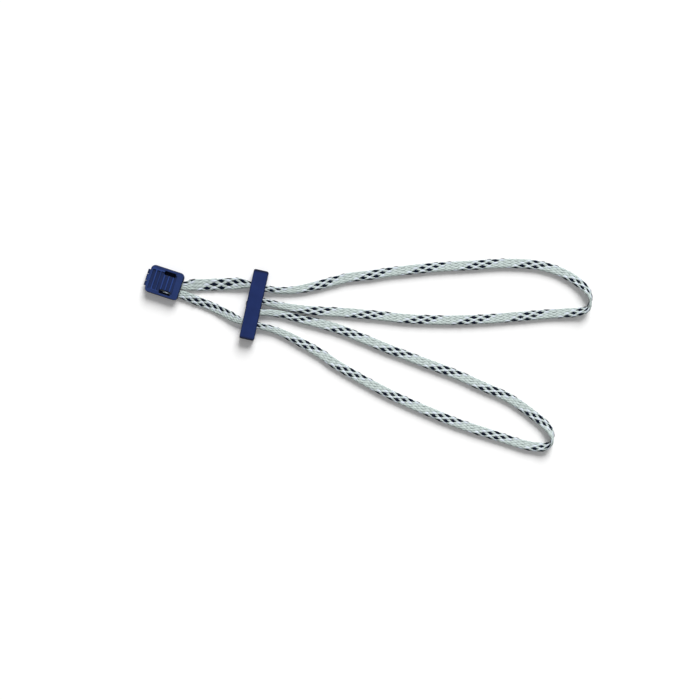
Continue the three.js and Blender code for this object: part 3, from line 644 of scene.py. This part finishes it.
for name, node, stops, width, turn, weave, pitch in (
        ("upper_tail_braid", "cord_tail_upper", upper_tail_stops, 10.4 * mm, 0.562,
         0.9 * mm, 50 * mm),
        ("lower_tail_braid", "cord_tail_lower", lower_tail_stops, 8 * mm, 0.295,
         2.47 * mm, 45.5 * mm)):
    section = (width, flat_section[1])
    piece, line, length = braid(name, stops, section, tail_spread,
                                ends=(clamped_section, bunched_section),
                                **{"Start turn": turn, "Weave start": weave, "Pitch": pitch})
    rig.blend(piece, "clip", "lock", start=line[0], end=line[-1])
    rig.replaces(piece, node)
    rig.cord(piece, exit=line[0], length=length, diameter=cord_width, far_end="object",
            stiffness="limp", lay="loose", path=line)

# Inside the bar the cord runs straight through an outer passage each side, and turns
# back on itself round the bar's middle post, which keeps the two loops apart.
core_x, outer_y, hidden_spread = 5 * mm, 16 * mm, 1 * mm
for name, node, y in (("upper_core_braid", "cord_core_upper", outer_y),
                      ("lower_core_braid", "cord_core_lower", -outer_y)):
    stops = [(x, y, passage_z) for x in (-core_x, -2 * mm, 2 * mm, core_x)]
    piece, _, _ = braid(name, stops, bunched_section, hidden_spread)
    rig.ride(piece, "lock")
    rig.replaces(piece, node)
bight_radius, bight_x, bight_start_x = 4.6 * mm, 0.3 * mm, 3 * mm
stops = [(core_x, bight_radius, passage_z), (bight_start_x, bight_radius, passage_z)]
stops += [(bight_x + bight_radius * math.cos(a), bight_radius * math.sin(a), passage_z)
          for a in map(math.radians, range(90, 271, 15))]
stops += [(bight_start_x, -bight_radius, passage_z), (core_x, -bight_radius, passage_z)]
piece, _, _ = braid("bight_braid", stops, bunched_section, hidden_spread,
                    **{"Start turn": 0.4375, "Weave start": 4.46 * mm})
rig.ride(piece, "lock")
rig.replaces(piece, "cord_bight")

# The cord's two cut ends lie side by side in the clip, pressed flat by the lid's ridges.
# The outer edge of the lower one swells up a little into the lid's long window.
clip_turn = math.radians(-5.6)
clip_place = Matrix.Translation((-78.95 * mm, 2.2 * mm, 0)) @ Matrix.Rotation(clip_turn, 4, "Z")
window_middle = Vector((2.65 * mm, -8.15 * mm, 0))
swell, swell_reach, swell_run = 2.4 * mm, (5 * mm, 1.65 * mm), (2 * mm, 0.8 * mm)
for name, node, y, turn in (("upper_end_braid", "cord_end_upper", 2.2, 0),
                            ("lower_end_braid", "cord_end_lower", -5.1, 0.1)):
    stops = [tuple(clip_place @ Vector((x * mm, y * mm, clamped_z)))
             for x in (-9.9, -4, 2, 8, 13.2)]
    piece, _, _ = braid(name, stops, clamped_section, hidden_spread,
                        ends=(clamped_section, clamped_section), **{"Start turn": turn})
    for vertex in piece.data.vertices:
        spot = clip_place.inverted() @ vertex.co - window_middle
        along = smooth_step((swell_reach[0] - abs(spot.x)) / swell_run[0])
        across = smooth_step((swell_reach[1] - spot.y) / swell_run[1])
        vertex.co.z += swell * along * across
    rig.ride(piece, "clip")
    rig.replaces(piece, node)

# The lock bar is two mouldings of navy nylon: a trough, and a plain cover pegged down on it.
# They keep the mould's fine grain; their rims and the bar's ends are darkened with painted shade.
ease_radius, ease_steps = 0.2 * mm, 2
sharp_angle = math.radians(30)
bar_top, bar_half_length = 9.4 * mm, 30.4 * mm
# Painted shade darkens the bar over this band at each end.
end_band, end_fade = 2.6 * mm, 1.6 * mm
# The lid's long narrow rib crests are lightened as a painted highlight.
crest_width, crest_length, crest_painted_highlight = 1.2 * mm, 5 * mm, 1.5


def moulded_finish():
    """Shader group: grained nylon with painted shade in its hollows, at its rims and near its ends, and a painted
    highlight where a mark is below zero.
    """
    tree, given, result = finish_group("moulded_nylon", "Top", "Hollow depth", "Hollow shade",
                                       "Half length")
    sums = maths(tree)
    place = tree.nodes.new("ShaderNodeTexCoord").outputs["Object"]
    spot = add_node(tree, "ShaderNodeSeparateXYZ", place).outputs
    rim = add_node(tree, "ShaderNodeAttribute", attribute_name="rim").outputs["Fac"]
    flow, grain = noise(tree, place, 110.0, 2.0), noise(tree, place, 2600.0, 2.0)
    # Painted shade: darker below the top face, at marked rims and near the ends; marks below zero lighten as a painted
    # highlight.
    hollow = sums("DIVIDE", sums("SUBTRACT", given["Top"], spot["Z"]), given["Hollow depth"],
                  use_clamp=True)
    past_end = sums("SUBTRACT", sums("ABSOLUTE", spot["Y"]), given["Half length"])
    end = sums("DIVIDE", sums("ADD", past_end, end_band), end_fade, use_clamp=True)
    tone = sums("MULTIPLY_ADD", flow, 0.5, 0.69)
    for mark, depth in ((grain, 0.2), (rim, -0.5), (end, -0.7)):
        tone = sums("MULTIPLY_ADD", mark, depth, tone)
    tone = sums("SUBTRACT", tone, sums("MULTIPLY", hollow, given["Hollow shade"]))
    tone = sums("MAXIMUM", tone, 0.2)
    tree.links.new(scaled(tree, given["Colour"], tone), result["Base Color"])
    rough = sums("MULTIPLY_ADD", grain, 0.16, sums("MULTIPLY_ADD", flow, 0.12, 0.36))
    tree.links.new(sums("MULTIPLY_ADD", rim, -0.08, rough), result["Roughness"])
    tree.links.new(grain, result["Height"])
    return tree


moulded = moulded_finish()


def nylon(name, colour, **inputs):
    return coloured(name, moulded, colour, shine=0.25, relief=0.5, relief_depth=0.03 * mm,
                    **inputs)


def eased_moulding(name, node, body, material, thumbed=False):
    """The moulding's own shape, its sharp outer edges rounded, its rims and ribs marked."""
    def roomy(edge):
        """Whether the corners at the edge's ends leave space for the rounding."""
        run = (edge.verts[1].co - edge.verts[0].co).normalized()
        for corner in edge.verts:
            for other in corner.link_edges:
                reach = other.other_vert(corner).co - corner.co
                if abs(reach.normalized().dot(run)) < 0.9 and reach.length < 2.5 * ease_radius:
                    return False
        return True

    shape = bmesh.new()
    shape.from_mesh(frame["nodes"][node].data)
    bmesh.ops.remove_doubles(shape, verts=shape.verts, dist=0.002 * mm)
    bmesh.ops.dissolve_limit(shape, angle_limit=math.radians(1), verts=shape.verts,
                             edges=shape.edges)
    outer = [edge for edge in shape.edges
             if edge.is_convex and edge.calc_face_angle() > sharp_angle and roomy(edge)]
    bevel = bmesh.ops.bevel(shape, geom=outer, offset=ease_radius, offset_type="OFFSET",
                            segments=ease_steps, profile=0.5, affect="EDGES",
                            clamp_overlap=False)
    rounded = set(bevel["faces"])
    rounded.update(f for f in shape.faces if 0.6 < abs(f.normal.z) < 0.8)

    # Rims are marked for painted shade, and the crests of a thumbed lid's ribs for a painted highlight.
    mark = shape.verts.layers.float.new("rim")
    for vertex in shape.verts:
        vertex[mark] = float(all(f in rounded for f in vertex.link_faces))
    for crest in shape.faces:
        longest = max(edge.calc_length() for edge in crest.edges)
        if (thumbed and crest.normal.z > 0.99 and longest > crest_length
                and crest.calc_area() < crest_width * longest):
            for corner in crest.verts:
                for edge in corner.link_edges:
                    corner[mark] = edge.other_vert(corner)[mark] = -crest_painted_highlight
    for shape_face in shape.faces:
        shape_face.smooth = True
    for edge in shape.edges:
        edge.smooth = edge.calc_face_angle(0) < sharp_angle
    mesh = bpy.data.meshes.new(name)
    shape.to_mesh(mesh)
    shape.free()
    mesh.materials.append(material)
    piece = bpy.data.objects.new(name, mesh)
    bpy.context.collection.objects.link(piece)
    shading = piece.modifiers.new("shading", "WEIGHTED_NORMAL")
    shading.keep_sharp = True
    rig.ride(piece, body)
    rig.replaces(piece, node)
    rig.slot(piece, "navy_plastic")
    return piece


bar_nylon = nylon("bar_nylon", (0.0066, 0.0205, 0.107), **{
    "Top": bar_top, "Hollow depth": 1.0, "Half length": bar_half_length})
eased_moulding("bar_trough", "lock_bar_base", "lock", bar_nylon)
eased_moulding("bar_cover", "lock_bar_cover", "lock", bar_nylon)

# The end clip is a shallow tray and a lid of the same nylon that shuts over the cord's ends.
# Six raised ribs give the thumb a grip; the panel between them, and every face below the lid's top, is darker with
# painted shade.
clip_top, panel_depth = 7.9 * mm, 0.7 * mm
clip_nylon = nylon("clip_nylon", (0.0118, 0.0302, 0.124), **{
    "Top": clip_top, "Hollow depth": panel_depth, "Hollow shade": 0.36, "Half length": 1.0})
eased_moulding("clip_tray", "clip_base", "clip", clip_nylon)
eased_moulding("clip_cover", "clip_lid", "lid", clip_nylon, thumbed=True)

# The toothed tongues are spring strip and the hinge pin is drawn wire, both bright steel.
# Rolling and drawing leave fine lines along them.
drawn_steel = bpy.data.materials.new("drawn_steel")
drawn_steel.use_nodes = True
tree = drawn_steel.node_tree
shader = tree.nodes["Principled BSDF"]
shader.inputs["Metallic"].default_value = 1.0
place = tree.nodes.new("ShaderNodeTexCoord").outputs["Object"]
drawn_out = add_node(tree, "ShaderNodeMapping", place, None, None, (260, 5200, 2600)).outputs[0]
lines = noise(tree, drawn_out, 1.0, 3.0)
bright = tree.nodes.new("ShaderNodeValToRGB")
for stop, position, level in zip(bright.color_ramp.elements, (0.3, 0.7),
                                 ((0.42, 0.43, 0.45), (0.66, 0.67, 0.69))):
    stop.position, stop.color = position, (*level, 1)
tree.links.new(lines, bright.inputs[0])
tree.links.new(bright.outputs[0], shader.inputs["Base Color"])
tree.links.new(maths(tree)("MULTIPLY_ADD", lines, 0.3, 0.16), shader.inputs["Roughness"])
for node in ("locking_tongue_upper", "locking_tongue_lower", "clip_hinge_pin"):
    frame["nodes"][node].material_slots[0].material = drawn_steel

# The floor is a plain white sheet that keeps the restraint's soft shadow.
# A broad lamp stands up the view and the room's own light fills the rest.
sheet_reach, sheet_glow, room_level = 3.0, 0.09, 0.25
floor_mesh = bpy.data.meshes.new("floor")
floor_mesh.from_pydata([(sheet_reach * x, sheet_reach * y, 0)
                        for x, y in ((-1, -1), (1, -1), (1, 1), (-1, 1))], [], [(0, 1, 2, 3)])
floor = bpy.data.objects.new("floor", floor_mesh)
bpy.context.collection.objects.link(floor)
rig.stage(floor)
white_sheet = bpy.data.materials.new("white_sheet")
white_sheet.use_nodes = True
tree = white_sheet.node_tree
tree.nodes.clear()
sums = maths(tree)
lit = add_node(tree, "ShaderNodeBsdfDiffuse", (0.95, 0.95, 0.95, 1)).outputs[0]
ray = tree.nodes.new("ShaderNodeLightPath").outputs
seen_direct = sums("MAXIMUM", ray["Is Camera Ray"], ray["Is Glossy Ray"])
seen_direct = sums("MAXIMUM", seen_direct, ray["Is Transmission Ray"])
glow_level = sums("MULTIPLY", seen_direct, sheet_glow)
glow = add_node(tree, "ShaderNodeEmission", (1, 1, 1, 1), glow_level).outputs[0]
whole = add_node(tree, "ShaderNodeAddShader", lit, glow).outputs[0]
add_node(tree, "ShaderNodeOutputMaterial", whole)
floor_mesh.materials.append(white_sheet)

world = bpy.data.worlds.new("room")
bpy.context.scene.world = world
world.use_nodes = True
room_light = world.node_tree.nodes["Background"].inputs
room_light["Color"].default_value = (1, 1, 1, 1)
room_light["Strength"].default_value = room_level
lamp_height, lamp_level = math.radians(38), 0.75
lamp_turn = view_turn - math.radians(18)
lamp = bpy.data.objects.new("broad_lamp", bpy.data.lights.new("broad_lamp", "SUN"))
towards = Vector((-math.sin(lamp_turn) * math.cos(lamp_height),
                  math.cos(lamp_turn) * math.cos(lamp_height), math.sin(lamp_height)))
lamp.rotation_euler = towards.to_track_quat("Z", "Y").to_euler()
lamp.location = towards
lamp.data.energy = math.pi * lamp_level / math.sin(lamp_height)
lamp.data.angle = math.radians(36)
bpy.context.collection.objects.link(lamp)
bpy.context.scene.view_settings.view_transform = "Standard"

with open("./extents.json", "w") as size_file:
    json.dump([[list(corner) for corner in cad_box],
               [list(corner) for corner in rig.bounds()]], size_file)
